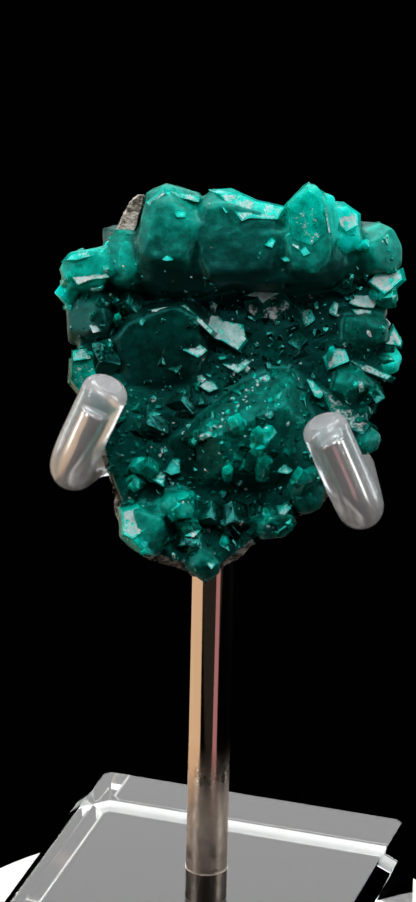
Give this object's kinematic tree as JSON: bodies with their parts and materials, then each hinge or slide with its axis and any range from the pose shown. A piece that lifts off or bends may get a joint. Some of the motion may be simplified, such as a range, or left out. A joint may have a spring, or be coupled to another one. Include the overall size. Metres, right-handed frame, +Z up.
{
  "type": "dioptase crystal specimen on a bent-arm stand",
  "caption": "Emerald-green dioptase crystals on a plate of host rock, held upright by sleeved bent wire arms on a metal post in a clear block.",
  "frame": {"origin": "middle of the clear block's underside, on the axis of the post", "axes": "+Z up along the post, -Y towards the crystal side, +X to the right of someone who looks at the crystals"},
  "size_m": [0.0358, 0.0358, 0.0746],
  "materials": {
    "dioptase": "natural crystal faces, deep emerald green, see-through at thin edges",
    "host_rock": "rough broken rock",
    "clear_acrylic": "polished clear acrylic with bevelled edges",
    "polished_metal": "polished, with fine scratches",
    "soft_clear_tube": "clear soft tube, slightly cloudy"
  },
  "bodies": {
    "root": {"dioptase_crystals": "dioptase", "matrix_rock": "host_rock", "base_block": "clear_acrylic", "post": "polished_metal", "arm_wire_left": "polished_metal", "arm_wire_right": "polished_metal", "arm_sleeve_left": "soft_clear_tube", "arm_sleeve_right": "soft_clear_tube"}
  },
  "joints": []
}
